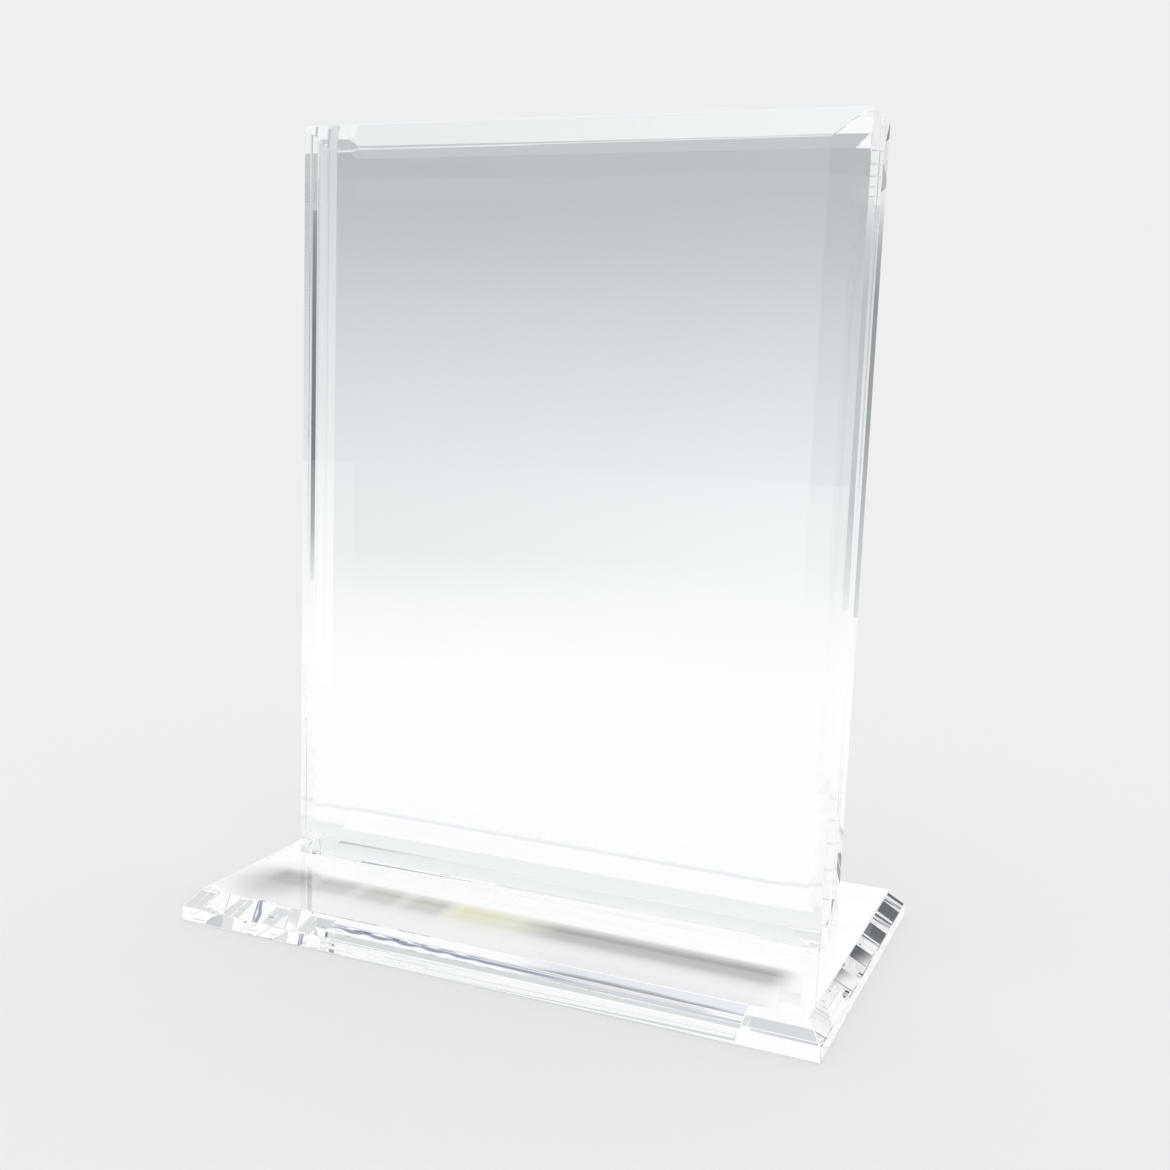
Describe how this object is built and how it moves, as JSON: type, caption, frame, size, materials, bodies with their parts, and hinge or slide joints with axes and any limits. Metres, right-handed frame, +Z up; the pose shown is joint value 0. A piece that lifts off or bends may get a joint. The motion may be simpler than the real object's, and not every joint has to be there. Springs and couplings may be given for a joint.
{
  "type": "acrylic card stand",
  "caption": "Clear acrylic card stand: bevelled plates stand back to back in a slotted, bevelled base and hold a card upright in the gap between them.",
  "frame": {"origin": "middle of the base's underside, which rests on the table", "axes": "+Z up, -Y towards the front that the picture shows, +X to the right seen from the front"},
  "size_m": [0.125, 0.07, 0.1517],
  "materials": {
    "clear_acrylic": "polished, clear and colourless"
  },
  "bodies": {
    "base": {"base": "clear_acrylic"},
    "front_plate": {"front_plate": "clear_acrylic"},
    "back_plate": {"back_plate": "clear_acrylic"}
  },
  "joints": [
    {"name": "front_plate_lift", "type": "slide", "parent": "base", "child": "front_plate", "axis": [0, 0, 1], "range_m": [0, 0.155]},
    {"name": "back_plate_lift", "type": "slide", "parent": "base", "child": "back_plate", "axis": [0, 0, 1], "range_m": [0, 0.155]}
  ]
}
